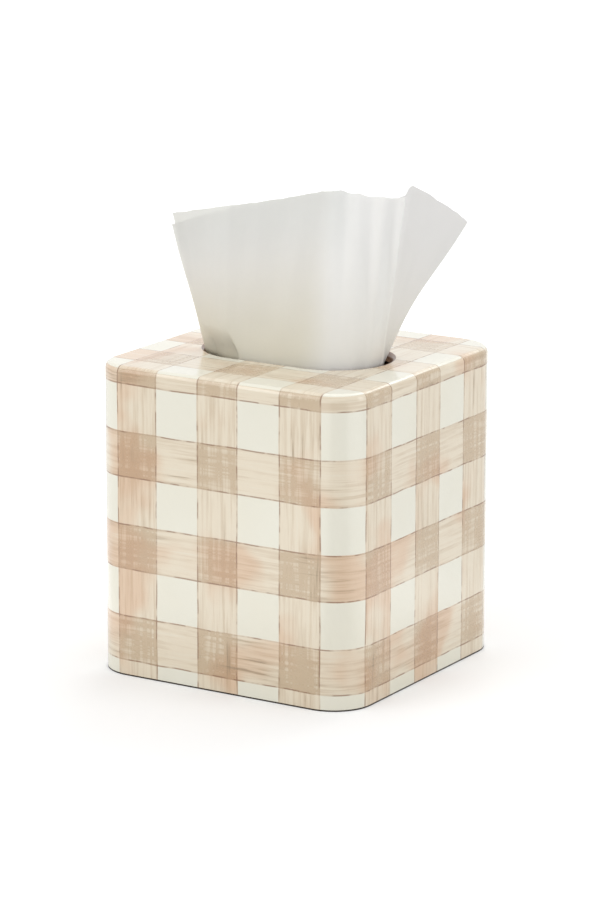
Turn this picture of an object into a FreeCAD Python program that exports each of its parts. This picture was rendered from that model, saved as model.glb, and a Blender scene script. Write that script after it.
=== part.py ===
import FreeCAD, Part
import math
import os

import Sketcher

# Tissue box cover of enamelled steel over an upright carton of interfolded tissues.
# Millimetres, +Z up, the table at zero height, the front face towards -Y, centred on the cover's footprint.

SIZES = (
    ("cover_width", 133.0, "outside, along X"),
    ("cover_depth", 133.0, "outside, along Y"),
    ("cover_height", 139.7, "table to the top face"),
    ("corner_radius", 18.5, "upright corners, outside"),
    ("top_edge_radius", 3.2, "where the walls turn into the top, outside"),
    ("wall", 1.2, "steel with enamel on both sides"),
    ("end_border", 22.5, "cover's side to the opening's end, seen from above"),
    ("side_border", 41.5, "cover's front to the opening's side, seen from above"),
    ("collar_depth", 4.2, "turned-down collar round the opening"),
    ("lip_radius", 2.2, "rolled edge of the opening, outside of the bend"),
    ("collar_edge_radius", 0.3, "broken edge at the collar's foot"),
    ("rim_flange", 0.7, "edging under the wall, the dark line"),
    ("rim_sheet", 0.6, "sheet the edging is bent from"),
    ("rim_upright", 6.0, "height of the edging's inner leg"),
    ("rim_seat_gap", 0.1, "solder gap between the inner leg and the wall"),
    ("rim_edge_radius", 0.25, "edging's outer lower edge"),
    ("side_room", 10.3, "cover's walls to the carton, all round"),
    ("head_room", 13.5, "underside of the cover's top to the carton"),
    ("board", 0.5, "carton board"),
    ("crease_radius", 1.2, "carton's upright creases, outside"),
    ("flap_gap", 25.0, "between the glued inner flaps on the carton's floor"),
    ("seam_lap", 15.0, "glued lap inside the carton's back wall"),
    ("seam_clearance", 1.0, "lap's distance from the top and the floor"),
    ("cut_edge_radius", 0.1, "lap's cut upright edges"),
    ("tear_end_inset", 2.0, "cover's opening to the carton's torn-out one, at the ends"),
    ("tear_side_inset", 3.0, "cover's opening to the carton's torn-out one, at the sides"),
    ("film_thickness", 0.2, "clear film"),
    ("film_lap", 7.0, "film glued round the carton's opening"),
    ("slit_margin", 1.0, "slit's end to the end of the carton's opening"),
    ("slit_gape", 6.0, "slit held open by the tissue"),
    ("packet_thickness", 0.755885, "about five sheets; the clip's sheets come out 200 mm wide"),
    ("clip_clearance", 1.0, "clip to the carton's walls"),
    ("clip_seat", 0.3, "clip to the carton's floor"),
    ("crown_clearance", 0.5, "clip's crown to the film"),
    ("layer_gap", 0.45, "air between neighbouring layers"),
    ("tissue_thickness", 0.5, "two plies with the air between them"),
    ("tissue_seat", 0.3, "standing tissue to the clip's crown"),
    ("tissue_bend_radius", 2.5, "softness of the tissue's creases"),
    ("slit_end_room", 4.0, "slit's end to the tissue pinched in it"),
    ("slit_side_room", 1.8, "slit's side to the pleats pinched in it"),
    ("fan_half_width", 62.0, "standing tissue, middle to the right tip"),
    ("fan_depth", 40.0, "how far the right wing stands back"),
    ("fan_height", 76.5, "cover's top face to the tissue's highest point"),
    ("fan_overrun", 2.0, "length cut off above the tissue's free edge"),
)
FOLD_COUNT = 14
# Most of a strip's run that a rounded turn may use up at each end.
CORNER_SHARE = 0.45
# How near to a height an edge has to lie to count as lying at it, by the thinnest sheet.
LEVEL_SHARE = 0.01

# Plans of the standing tissue, left to right: a flat panel, three soft pleats, a crease that doubles
# back, and a wing that sweeps to the rear. First where it passes the cover's opening: across by half
# the opening's length, then back from its round end by the end's radius, then deep by the same radius.
MOUTH_PLAN_SHARES = (
    (-1.00, 0.1232, -0.48), (-0.50, 0.0, -0.40), (-0.11, 0.0, -0.28), (0.23, 0.0, -0.20), (0.33, 0.0, -0.08),
    (0.41, 0.0, -0.26), (0.50, 0.0, -0.02), (0.58, 0.0, -0.20), (0.67, 0.0, 0.04), (1.00, -0.3520, -0.12),
    (1.00, -0.5632, 0.20), (1.00, -0.4576, 0.34), (1.00, -0.3168, 0.43), (1.00, -0.2024, 0.54),
)
# Then at its free edge: across by the fan's half width, back by its depth.
FAN_PLAN_SHARES = (
    (-1.03, -0.35), (-0.58, -0.15), (-0.13, -0.04), (0.20, 0.00), (0.33, 0.05), (0.42, -0.14), (0.52, 0.13),
    (0.61, -0.12), (0.71, 0.12), (0.86, -0.08), (0.70, 0.22), (0.78, 0.47), (0.91, 0.78), (1.10, 1.25),
)
# The tissue's outline is seen from a little right of the front. Across that view runs this direction,
# as shares along X and Y.
SIGHT_SHARES = (0.852, 0.524)
# Its free edge and right edge, seen so: across by the fan's half width, height by the fan's height.
FAN_EDGE_SHARES = (
    (-1.21, 0.694), (-0.89, 0.752), (-0.51, 0.814), (-0.12, 0.889), (0.10, 0.954), (0.28, 0.975),
    (0.48, 0.960), (0.715, 0.962), (0.76, 1.000), (0.97, 0.923), (1.19, 0.757), (0.95, 0.488),
    (0.74, 0.229), (0.69, 0.030),
)

doc = FreeCAD.newDocument("tissue_box_cover")
sheet = doc.addObject("Spreadsheet::Sheet", "Sizes")
for row, (alias, number, meaning) in enumerate(SIZES, start=1):
    sheet.set(f"A{row}", alias)
    sheet.set(f"B{row}", str(number))
    sheet.set(f"C{row}", meaning)
    sheet.setAlias(f"B{row}", alias)
doc.recompute()

# Sizes that follow from the driving ones, as expressions on the sheet's cells.
OPENING_LENGTH = "(Sizes.cover_width - 2 * Sizes.end_border)"
OPENING_WIDTH = "(Sizes.cover_depth - 2 * Sizes.side_border)"
CARTON_WIDTH = "(Sizes.cover_width - 2 * (Sizes.wall + Sizes.side_room))"
CARTON_DEPTH = "(Sizes.cover_depth - 2 * (Sizes.wall + Sizes.side_room))"
CARTON_HEIGHT = "(Sizes.cover_height - Sizes.wall - Sizes.head_room)"
TEAR_LENGTH = f"({OPENING_LENGTH} - 2 * Sizes.tear_end_inset)"
TEAR_WIDTH = f"({OPENING_WIDTH} - 2 * Sizes.tear_side_inset)"
SLIT_LENGTH = f"({TEAR_LENGTH} - 2 * Sizes.slit_margin)"
GATHER_LENGTH = f"({SLIT_LENGTH} - 2 * Sizes.slit_end_room)"
GATHER_DEPTH = "(Sizes.slit_gape - 2 * Sizes.slit_side_room)"
FLOOR_TOP = "(2 * Sizes.board)"
FILM_UNDERSIDE = f"({CARTON_HEIGHT} - Sizes.board - Sizes.film_thickness)"
CROWN_TOP = f"({FILM_UNDERSIDE} - Sizes.crown_clearance)"
CLIP_RADIUS = f"({CARTON_WIDTH} / 2 - Sizes.board - Sizes.clip_clearance)"
CLIP_HALF_DEPTH = f"({CARTON_DEPTH} / 2 - Sizes.board - Sizes.clip_clearance)"
CROWN_CENTRE = f"({CROWN_TOP} - {CLIP_RADIUS})"
LEG_END = f"({FLOOR_TOP} + Sizes.clip_seat)"
INNER_LEG = f"({CROWN_CENTRE} - {LEG_END})"
PITCH = "(Sizes.packet_thickness + Sizes.layer_gap)"
CORE_RADIUS = f"({CLIP_RADIUS} - {2 * FOLD_COUNT} * {PITCH})"
SLOPE_REACH = f"({CLIP_RADIUS} + 2 * {PITCH})"
SLOPE_DROP = f"(2 * pi * {PITCH})"


def value(expression):
    """Works an expression on the sheet's cells out as a number."""
    return float(sheet.evalExpression(expression))


def new_body(label):
    body = doc.addObject("PartDesign::Body", label)
    body.Label = label
    return body


def new_sketch(body, name, role="XY_Plane", height=None):
    """Adds a sketch on one of the body's own origin planes, raised along the plane's normal."""
    sketch = body.newObject("Sketcher::SketchObject", name)
    plane = [feature for feature in body.Origin.OriginFeatures if feature.Role == role][0]
    sketch.AttachmentSupport = [(plane, "")]
    sketch.MapMode = "FlatFace"
    if height is not None:
        sketch.setExpression("AttachmentOffset.Base.z", height)
    return sketch


def bind(sketch, constraint, expression):
    """Adds a sized constraint and ties it to an expression."""
    index = sketch.addConstraint(constraint)
    sketch.setExpression(f"Constraints[{index}]", expression)


def vector(across, up=0.0):
    return FreeCAD.Vector(across, up, 0)


def rounded_rectangle(sketch, across, deep, corner):
    """Draws a closed outline with equal round corners, centred on the sketch's origin."""
    half_x, half_y, radius = value(across) / 2, value(deep) / 2, value(corner)
    in_x, in_y = half_x - radius, half_y - radius
    turns = ((in_x, -in_y, -90), (in_x, in_y, 0), (-in_x, in_y, 90), (-in_x, -in_y, 180))
    ends = ((-in_x, -half_y, in_x, -half_y), (half_x, -in_y, half_x, in_y),
            (in_x, half_y, -in_x, half_y), (-half_x, in_y, -half_x, -in_y))
    normal = FreeCAD.Vector(0, 0, 1)
    for x1, y1, x2, y2 in ends:
        sketch.addGeometry(Part.LineSegment(vector(x1, y1), vector(x2, y2)))
    for x, y, start in turns:
        circle = Part.Circle(vector(x, y), normal, radius)
        sketch.addGeometry(Part.ArcOfCircle(circle, math.radians(start), math.radians(start + 90)))
    for side in range(4):
        corner_arc, next_side = 4 + side, (side + 1) % 4
        sketch.addConstraint(Sketcher.Constraint("Tangent", side, 2, corner_arc, 1))
        sketch.addConstraint(Sketcher.Constraint("Tangent", corner_arc, 2, next_side, 1))
        sketch.addConstraint(Sketcher.Constraint("Vertical" if side % 2 else "Horizontal", side))
    for corner_arc in (5, 6, 7):
        sketch.addConstraint(Sketcher.Constraint("Equal", 4, corner_arc))
    sketch.addConstraint(Sketcher.Constraint("Symmetric", 4, 3, 6, 3, -1, 1))
    bind(sketch, Sketcher.Constraint("Radius", 4, radius), corner)
    bind(sketch, Sketcher.Constraint("DistanceX", 7, 3, 4, 3, 2 * in_x), f"{across} - 2 * {corner}")
    bind(sketch, Sketcher.Constraint("DistanceY", 4, 3, 5, 3, 2 * in_y), f"{deep} - 2 * {corner}")


def slot(sketch, length, width):
    """Draws a round-ended slot along X, centred on the sketch's origin."""
    radius = value(width) / 2
    reach = value(length) / 2 - radius
    normal = FreeCAD.Vector(0, 0, 1)
    sketch.addGeometry(Part.LineSegment(vector(-reach, -radius), vector(reach, -radius)))
    right = Part.Circle(vector(reach), normal, radius)
    sketch.addGeometry(Part.ArcOfCircle(right, -math.pi / 2, math.pi / 2))
    sketch.addGeometry(Part.LineSegment(vector(reach, radius), vector(-reach, radius)))
    left = Part.Circle(vector(-reach), normal, radius)
    sketch.addGeometry(Part.ArcOfCircle(left, math.pi / 2, 3 * math.pi / 2))
    for piece in range(4):
        sketch.addConstraint(Sketcher.Constraint("Tangent", piece, 2, (piece + 1) % 4, 1))
    sketch.addConstraint(Sketcher.Constraint("Horizontal", 0))
    sketch.addConstraint(Sketcher.Constraint("Symmetric", 1, 3, 3, 3, -1, 1))
    bind(sketch, Sketcher.Constraint("Radius", 1, radius), f"{width} / 2")
    bind(sketch, Sketcher.Constraint("DistanceX", 3, 3, 1, 3, 2 * reach), f"{length} - {width}")


def pad(body, sketch, name, length, down=False):
    feature = body.newObject("PartDesign::Pad", name)
    feature.Profile = sketch
    feature.setExpression("Length", length)
    feature.Reversed = down
    return finish_feature(feature)


def pocket(body, sketch, name, length, up=False):
    """Cuts a sketch's outline downwards, or upwards, and makes sure that it took something away."""
    before = body.Shape.Volume
    feature = body.newObject("PartDesign::Pocket", name)
    feature.Profile = sketch
    feature.setExpression("Length", length)
    feature.Reversed = up
    finish_feature(feature)
    if not feature.Shape.Volume < before:
        raise RuntimeError(f"{name} cut nothing")
    return feature


def fillet(body, name, radius, wanted):
    """Rounds the edges of the body's tip for which wanted(edge) is true."""
    base = body.Tip
    names = [f"Edge{i}" for i, edge in enumerate(base.Shape.Edges, start=1) if wanted(edge)]
    if not names:
        raise RuntimeError(f"{name} found no edges")
    feature = body.newObject("PartDesign::Fillet", name)
    feature.Base = (base, names)
    feature.setExpression("Radius", radius)
    return finish_feature(feature)


def finish_feature(feature):
    feature.getParentGeoFeatureGroup().Tip = feature
    doc.recompute()
    if not feature.isValid() or feature.Shape.isNull():
        raise RuntimeError(f"{feature.Name} failed: {feature.State}")
    return feature


def level(edge, height):
    """Tells whether a whole edge or face lies at one height."""
    slack = LEVEL_SHARE * value("Sizes.film_thickness")
    return abs(edge.BoundBox.ZMin - height) < slack and abs(edge.BoundBox.ZMax - height) < slack


def within(edge, half_length, half_width):
    """Tells whether an edge lies inside a rectangle round the vertical axis."""
    box = edge.BoundBox
    return max(-box.XMin, box.XMax) < half_length and max(-box.YMin, box.YMax) < half_width


def cover_shell():
    """One steel pressing: four walls, the top, and the opening's rolled lip and collar."""
    body = new_body("cover_shell")
    outline = new_sketch(body, "shell_outline", height="Sizes.rim_flange")
    rounded_rectangle(outline, "Sizes.cover_width", "Sizes.cover_depth", "Sizes.corner_radius")
    pad(body, outline, "shell_block", "Sizes.cover_height - Sizes.rim_flange")
    top = value("Sizes.cover_height")
    fillet(body, "shell_shoulder", "Sizes.top_edge_radius", lambda edge: level(edge, top))

    base = body.Tip
    foot = value("Sizes.rim_flange")
    under = [f"Face{i}" for i, face in enumerate(base.Shape.Faces, start=1) if level(face, foot)]
    hollow = body.newObject("PartDesign::Thickness", "shell_hollow")
    hollow.Base = (base, under)
    hollow.setExpression("Value", "Sizes.wall")
    hollow.Reversed = True
    finish_feature(hollow)

    collar = new_sketch(body, "collar_outline", height="Sizes.cover_height")
    slot(collar, f"({OPENING_LENGTH} + 2 * Sizes.wall)", f"({OPENING_WIDTH} + 2 * Sizes.wall)")
    pad(body, collar, "collar_block", "Sizes.collar_depth", down=True)
    mouth = new_sketch(body, "mouth_outline", height="Sizes.cover_height")
    slot(mouth, OPENING_LENGTH, OPENING_WIDTH)
    pocket(body, mouth, "mouth_cut", "Sizes.collar_depth")

    half_length = value(f"{OPENING_LENGTH} / 2 + 2 * Sizes.wall")
    half_width = value(f"{OPENING_WIDTH} / 2 + 2 * Sizes.wall")
    fillet(body, "lip_outside", "Sizes.lip_radius",
           lambda edge: level(edge, top) and within(edge, half_length, half_width))
    ceiling = value("Sizes.cover_height - Sizes.wall")
    fillet(body, "lip_inside", "Sizes.lip_radius - Sizes.wall",
           lambda edge: level(edge, ceiling) and within(edge, half_length, half_width))
    collar_foot = value("Sizes.cover_height - Sizes.collar_depth")
    fillet(body, "collar_foot", "Sizes.collar_edge_radius", lambda edge: level(edge, collar_foot))
    return body


def inset_outline(sketch, inset):
    """Draws the cover's outline moved inwards by an expression."""
    across, deep = (f"(Sizes.{side} - 2 * {inset})" for side in ("cover_width", "cover_depth"))
    rounded_rectangle(sketch, across, deep, f"(Sizes.corner_radius - {inset})")


def base_rim():
    """Dark edging of bent sheet: a flange under the wall and a leg soldered up inside it."""
    body = new_body("base_rim")
    flange = new_sketch(body, "flange_outline")
    rounded_rectangle(flange, "Sizes.cover_width", "Sizes.cover_depth", "Sizes.corner_radius")
    pad(body, flange, "flange_block", "Sizes.rim_flange")
    fillet(body, "flange_edge", "Sizes.rim_edge_radius", lambda edge: level(edge, 0.0))
    leg = new_sketch(body, "leg_outline")
    inset_outline(leg, "(Sizes.wall + Sizes.rim_seat_gap)")
    pad(body, leg, "leg_block", "Sizes.rim_upright")
    bore = new_sketch(body, "bore_outline")
    inset_outline(bore, "(Sizes.wall + Sizes.rim_seat_gap + Sizes.rim_sheet)")
    pocket(body, bore, "bore_cut", "Sizes.rim_upright", up=True)
    return body


def tissue_carton():
    """Folded board: walls, top with its torn-out opening, floor with inner flaps, and the seam's lap."""
    body = new_body("tissue_carton")
    outside = new_sketch(body, "carton_outline")
    rounded_rectangle(outside, CARTON_WIDTH, CARTON_DEPTH, "Sizes.crease_radius")
    pad(body, outside, "carton_block", CARTON_HEIGHT)
    inside_width = f"({CARTON_WIDTH} - 2 * Sizes.board)"
    inside_depth = f"({CARTON_DEPTH} - 2 * Sizes.board)"
    inside = new_sketch(body, "carton_inside", height="Sizes.board")
    rounded_rectangle(inside, inside_width, inside_depth, "(Sizes.crease_radius - Sizes.board)")
    # The room inside is closed at the top and the floor, so it is cut before the opening is torn out.
    pocket(body, inside, "carton_room", f"{CARTON_HEIGHT} - 2 * Sizes.board", up=True)
    flap_reach = f"(({inside_width} - Sizes.flap_gap) / 2)"
    for side, place in (("left", -1), ("right", 1)):
        flap = new_sketch(body, f"{side}_flap_outline", height="Sizes.board")
        rounded_rectangle(flap, flap_reach, inside_depth, "(Sizes.crease_radius - Sizes.board)")
        flap.setExpression("AttachmentOffset.Base.x", f"{place} * ({inside_width} - {flap_reach}) / 2")
        pad(body, flap, f"{side}_flap", "Sizes.board")
    lap = new_sketch(body, "seam_lap_outline", height="Sizes.board + Sizes.seam_clearance")
    rounded_rectangle(lap, "Sizes.seam_lap", "(2 * Sizes.board)", "Sizes.cut_edge_radius")
    lap_middle = f"{inside_width} / 2 - Sizes.crease_radius - Sizes.seam_lap / 2"
    lap.setExpression("AttachmentOffset.Base.x", lap_middle)
    lap.setExpression("AttachmentOffset.Base.y", f"{inside_depth} / 2")
    pad(body, lap, "seam_lap_strip", f"{CARTON_HEIGHT} - 2 * (Sizes.board + Sizes.seam_clearance)")
    mouth = new_sketch(body, "tear_outline", height=CARTON_HEIGHT)
    slot(mouth, TEAR_LENGTH, TEAR_WIDTH)
    pocket(body, mouth, "tear_cut", "Sizes.board")
    return body


def slit_film():
    """Clear film glued under the carton's top, its slit held open by the standing tissue."""
    body = new_body("slit_film")
    outline = new_sketch(body, "film_outline", height=FILM_UNDERSIDE)
    film_length, film_width = (f"({side} + 2 * Sizes.film_lap)" for side in (TEAR_LENGTH, TEAR_WIDTH))
    rounded_rectangle(outline, film_length, film_width, "Sizes.film_lap")
    pad(body, outline, "film_block", "Sizes.film_thickness")
    cut = new_sketch(body, "slit_outline", height=f"{FILM_UNDERSIDE} + Sizes.film_thickness")
    slot(cut, SLIT_LENGTH, "Sizes.slit_gape")
    pocket(body, cut, "slit_cut", "Sizes.film_thickness")
    return body


def hairpin(sketch, outer, inner, side):
    """Draws one folded sheet end-on: two halves at their distances from the crown's axis, and the fold.

    outer and inner are expressions for the halves' middle lines, side is -1 or 1 for the fold's end.
    """
    bend = f"(({outer} - {inner}) / 2)"
    middle = f"(({outer} + {inner}) / 2)"
    widest = f"(1.5 * {PITCH} + Sizes.packet_thickness / 2)"
    reach = f"({CLIP_HALF_DEPTH} - {widest})"
    far, near, half = value(outer), value(inner), value("Sizes.packet_thickness") / 2
    radius, centre, end = value(bend), value(middle), value(reach) * side
    rows = (far + half, far - half, near + half, near - half)
    lines = [sketch.addGeometry(Part.LineSegment(vector(x, -end), vector(x, end))) for x in rows]
    caps = [sketch.addGeometry(Part.LineSegment(vector(rows[i], -end), vector(rows[i + 1], -end)))
            for i in (0, 2)]
    normal = FreeCAD.Vector(0, 0, 1)
    first, last = (0, math.pi) if side > 0 else (math.pi, 2 * math.pi)
    arcs = []
    for size in (radius + half, radius - half):
        circle = Part.Circle(vector(centre, end), normal, size)
        arcs.append(sketch.addGeometry(Part.ArcOfCircle(circle, first, last)))
    start, stop = (1, 2) if side > 0 else (2, 1)
    for arc, (a, b) in zip(arcs, ((0, 3), (1, 2))):
        sketch.addConstraint(Sketcher.Constraint("Tangent", lines[a], 2, arc, start))
        sketch.addConstraint(Sketcher.Constraint("Tangent", lines[b], 2, arc, stop))
    for cap, (a, b) in zip(caps, ((0, 1), (2, 3))):
        sketch.addConstraint(Sketcher.Constraint("Coincident", cap, 1, lines[a], 1))
        sketch.addConstraint(Sketcher.Constraint("Coincident", cap, 2, lines[b], 1))
        sketch.addConstraint(Sketcher.Constraint("Horizontal", cap))
    for line in (lines[0], lines[2]):
        sketch.addConstraint(Sketcher.Constraint("Vertical", line))
    sketch.addConstraint(Sketcher.Constraint("Coincident", arcs[0], 3, arcs[1], 3))
    sketch.addConstraint(Sketcher.Constraint("Horizontal", lines[0], 1, lines[2], 1))
    for arc, sign, size in ((arcs[0], "+", radius + half), (arcs[1], "-", radius - half)):
        bind(sketch, Sketcher.Constraint("Radius", arc, size), f"{bend} {sign} Sizes.packet_thickness / 2")
    bind(sketch, Sketcher.Constraint("DistanceX", -1, 1, arcs[0], 3, centre), middle)
    low, high = ((lines[0], 1), (arcs[0], 3)) if side > 0 else ((arcs[0], 3), (lines[0], 1))
    bind(sketch, Sketcher.Constraint("DistanceY", -1, 1, *high, abs(end)), reach)
    bind(sketch, Sketcher.Constraint("DistanceY", *low, *high, 2 * abs(end)), f"2 * {reach}")


def tissue_fold(number):
    """A few sheets as one: its two halves clasp a half of each neighbour, and all bend over the crown."""
    label = f"tissue_fold_{number:02d}"
    first = max(0, 2 * number - 3)
    second = min(2 * number, 2 * FOLD_COUNT - 1)
    outer, inner = (f"({CLIP_RADIUS} - {place + 0.5} * {PITCH})" for place in (first, second))
    body = new_body(label)
    section = new_sketch(body, f"{label}_section", height=CROWN_CENTRE)
    hairpin(section, outer, inner, -1 if number % 2 else 1)

    crown = body.newObject("PartDesign::Revolution", f"{label}_crown")
    crown.Profile = section
    crown.ReferenceAxis = (section, ["V_Axis"])
    crown.Angle = 180
    crown.Reversed = True
    finish_feature(crown)
    longer_leg = f"({INNER_LEG} - pi / 2 * ({inner} - {CORE_RADIUS}) + pi * {PITCH})"
    leg = pad(body, section, f"{label}_leg", longer_leg, down=True)
    other_leg = body.newObject("PartDesign::Mirrored", f"{label}_other_leg")
    other_leg.Originals = [leg]
    other_leg.MirrorPlane = (section, ["V_Axis"])
    finish_feature(other_leg)
    slope = new_sketch(body, f"{label}_slope", role="XZ_Plane")
    leg_slope(slope)
    trim = body.newObject("PartDesign::Pocket", f"{label}_trim")
    trim.Profile = slope
    trim.Midplane = True
    trim.setExpression("Length", CARTON_DEPTH)
    finish_feature(trim)
    return body


def leg_slope(sketch):
    """Draws what lies under the leg ends: sheets of one length round one crown end in two slopes.

    A layer further out has further to go round the crown, by half a circle, so its legs end higher.
    """
    out, core = value(SLOPE_REACH), value(CORE_RADIUS)
    end = value(LEG_END)
    high, low = end + math.pi / 2 * (out - core), end - value(SLOPE_DROP)
    corners = ((out, high), (core, end), (-core, end), (-out, high), (-out, low), (out, low))
    for index, corner in enumerate(corners):
        following = corners[(index + 1) % len(corners)]
        sketch.addGeometry(Part.LineSegment(vector(*corner), vector(*following)))
    for index in range(len(corners)):
        sketch.addConstraint(Sketcher.Constraint("Coincident", index, 2, (index + 1) % len(corners), 1))
    sketch.addConstraint(Sketcher.Constraint("Horizontal", 4))
    for upright in (3, 5):
        sketch.addConstraint(Sketcher.Constraint("Vertical", upright))
    sketch.addConstraint(Sketcher.Constraint("Symmetric", 0, 1, 3, 1, -2))
    sketch.addConstraint(Sketcher.Constraint("Symmetric", 1, 1, 2, 1, -2))
    bind(sketch, Sketcher.Constraint("DistanceX", 3, 1, 0, 1, 2 * out), f"2 * {SLOPE_REACH}")
    bind(sketch, Sketcher.Constraint("DistanceX", 2, 1, 1, 1, 2 * core), f"2 * {CORE_RADIUS}")
    rise = f"pi / 2 * ({SLOPE_REACH} - {CORE_RADIUS})"
    bind(sketch, Sketcher.Constraint("DistanceY", 1, 1, 0, 1, high - end), rise)
    bind(sketch, Sketcher.Constraint("DistanceY", 5, 1, 1, 1, end - low), SLOPE_DROP)
    bind(sketch, Sketcher.Constraint("DistanceY", -1, 1, 1, 1, end), LEG_END)


def rounded_strip(points, height, bend, thickness):
    """Makes the closed outline of a strip that follows points, with an arc of radius bend at each turn."""
    path = [FreeCAD.Vector(x, y, height) for x, y in points]
    up = FreeCAD.Vector(0, 0, 1)
    turns = []
    for before, here, after in zip(path, path[1:], path[2:]):
        into, out = (here - before).normalize(), (after - here).normalize()
        angle = math.atan2(into.cross(out).dot(up), into.dot(out))
        shorter = min((here - before).Length, (after - here).Length)
        radius = min(bend, CORNER_SHARE * shorter / math.tan(abs(angle) / 2))
        cut = radius * math.tan(abs(angle) / 2)
        centre = here - into * cut + up.cross(into) * math.copysign(radius, angle)
        turns.append((centre, radius, math.copysign(1, angle), into, out))
    sides = []
    for side in (-thickness / 2, thickness / 2):
        edges = []
        start = path[0] + up.cross((path[1] - path[0]).normalize()) * side
        for centre, radius, hand, into, out in turns:
            arm = radius - hand * side
            a, c = (centre - up.cross(d) * (hand * arm) for d in (into, out))
            middle = centre - up.cross((into + out).normalize()) * (hand * arm)
            edges.append(Part.LineSegment(start, a).toShape())
            edges.append(Part.Arc(a, middle, c).toShape())
            start = c
        end = path[-1] + up.cross((path[-1] - path[-2]).normalize()) * side
        edges.append(Part.LineSegment(start, end).toShape())
        sides.append(edges)
    front, back = sides
    ends = [Part.LineSegment(front[-1].Vertexes[-1].Point, back[-1].Vertexes[-1].Point).toShape(),
            Part.LineSegment(back[0].Vertexes[0].Point, front[0].Vertexes[0].Point).toShape()]
    return Part.Wire(front + [ends[0]] + [edge.reversed() for edge in reversed(back)] + [ends[1]])


def standing_sections():
    """Plans of the standing tissue, each with its height: in the slit, in the opening and at the top."""
    foot = value(CROWN_TOP) + value("Sizes.tissue_seat")
    brim = value("Sizes.cover_height")
    length = value(GATHER_LENGTH)
    swing = (value(GATHER_DEPTH) - value("Sizes.tissue_thickness")) / 2
    last = len(FAN_PLAN_SHARES) - 1
    gather = [(length * (place / last - 1 / 2), swing * (-1) ** place) for place in range(last + 1)]
    end, radius = value(OPENING_LENGTH) / 2, value(OPENING_WIDTH) / 2
    mouth = [(across * end + inwards * radius, deep * radius) for across, inwards, deep in MOUTH_PLAN_SHARES]
    fan = scaled(FAN_PLAN_SHARES, value("Sizes.fan_half_width"), value("Sizes.fan_depth"))
    top = brim + value("Sizes.fan_height + Sizes.fan_overrun")
    return (gather, foot), (mouth, brim), (fan, top)


def scaled(shares, across, along):
    return [(first * across, second * along) for first, second in shares]


def sight_outline():
    """The room that the tissue's outline leaves it, seen from a little right of the front."""
    reach = 2 * value("Sizes.fan_depth")
    brim, below = value("Sizes.cover_height"), value(CROWN_TOP)
    across = FreeCAD.Vector(*SIGHT_SHARES, 0).normalize()
    away = FreeCAD.Vector(0, 0, 1).cross(across)
    edge = scaled(FAN_EDGE_SHARES, value("Sizes.fan_half_width"), value("Sizes.fan_height"))
    outline = [(place, brim + height) for place, height in edge]
    outline += [(outline[-1][0], below), (outline[0][0], below)]
    corners = [across * place - away * reach + FreeCAD.Vector(0, 0, height) for place, height in outline]
    return Part.Face(Part.makePolygon(corners + corners[:1])).extrude(away * (2 * reach))


def popup_tissue():
    """The standing tissue: pleats pinched in the slit that fan out to a free edge above the cover."""
    thickness, bend = value("Sizes.tissue_thickness"), value("Sizes.tissue_bend_radius")
    outlines = [rounded_strip(plan, height, bend, thickness) for plan, height in standing_sections()]
    ruled = Part.makeLoft(outlines, True, True)
    tissue = doc.addObject("Part::Feature", "popup_tissue")
    tissue.Label = "popup_tissue"
    tissue.Shape = ruled.common(sight_outline())
    tissue.Placement = FreeCAD.Placement()
    return tissue


def write_parts(pieces):
    """Checks every object of the document and each piece's shape, then writes one file for each piece."""
    doc.recompute()
    for item in doc.Objects:
        if "Invalid" in item.State or "Error" in item.State:
            raise RuntimeError(f"{item.Label} is {item.State}")
    for piece in pieces:
        shape = piece.Shape
        if shape.isNull() or not shape.isValid() or len(shape.Solids) != 1:
            raise RuntimeError(f"{piece.Label} has no sound single solid")
    os.makedirs("parts", exist_ok=True)
    for piece in pieces:
        piece.Shape.exportStep(f"parts/{piece.Label}.step")
        box = piece.Shape.optimalBoundingBox()
        low = f"{box.XMin:.1f} {box.YMin:.1f} {box.ZMin:.1f}"
        high = f"{box.XMax:.1f} {box.YMax:.1f} {box.ZMax:.1f}"
        print(f"{piece.Label}: {piece.Shape.Volume:.0f} mm3, {low} to {high}")


def main():
    pieces = [cover_shell(), base_rim(), tissue_carton(), slit_film()]
    pieces += [tissue_fold(number) for number in range(1, FOLD_COUNT + 1)]
    pieces.append(popup_tissue())
    write_parts(pieces)


main()
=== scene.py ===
import logging
import math
from dataclasses import dataclass
from enum import Enum

import bpy
import numpy as np
from mathutils import Matrix, Vector, noise


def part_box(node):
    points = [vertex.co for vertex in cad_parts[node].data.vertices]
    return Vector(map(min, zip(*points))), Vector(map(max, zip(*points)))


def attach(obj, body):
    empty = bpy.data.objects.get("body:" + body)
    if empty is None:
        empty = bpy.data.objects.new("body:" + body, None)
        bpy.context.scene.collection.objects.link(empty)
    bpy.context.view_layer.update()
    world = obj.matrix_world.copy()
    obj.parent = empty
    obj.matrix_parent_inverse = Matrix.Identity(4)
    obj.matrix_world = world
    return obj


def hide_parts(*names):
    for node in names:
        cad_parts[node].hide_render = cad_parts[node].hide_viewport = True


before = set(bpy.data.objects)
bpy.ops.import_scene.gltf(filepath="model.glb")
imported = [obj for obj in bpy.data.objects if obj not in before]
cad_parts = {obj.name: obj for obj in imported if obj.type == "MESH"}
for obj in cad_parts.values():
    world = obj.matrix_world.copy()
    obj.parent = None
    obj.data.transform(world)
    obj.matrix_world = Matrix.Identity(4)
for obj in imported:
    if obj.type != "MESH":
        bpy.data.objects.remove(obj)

# Tissue box cover of enamelled steel with a brushed gingham, over a carton of interfolded tissues.
# Metres, +Z up, the table at zero height, the front face towards -Y.

log = logging.getLogger("tissue_box_cover")

Colour = tuple[float, float, float, float]
Triple = tuple[float, float, float]
Pair = tuple[float, float]

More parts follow.
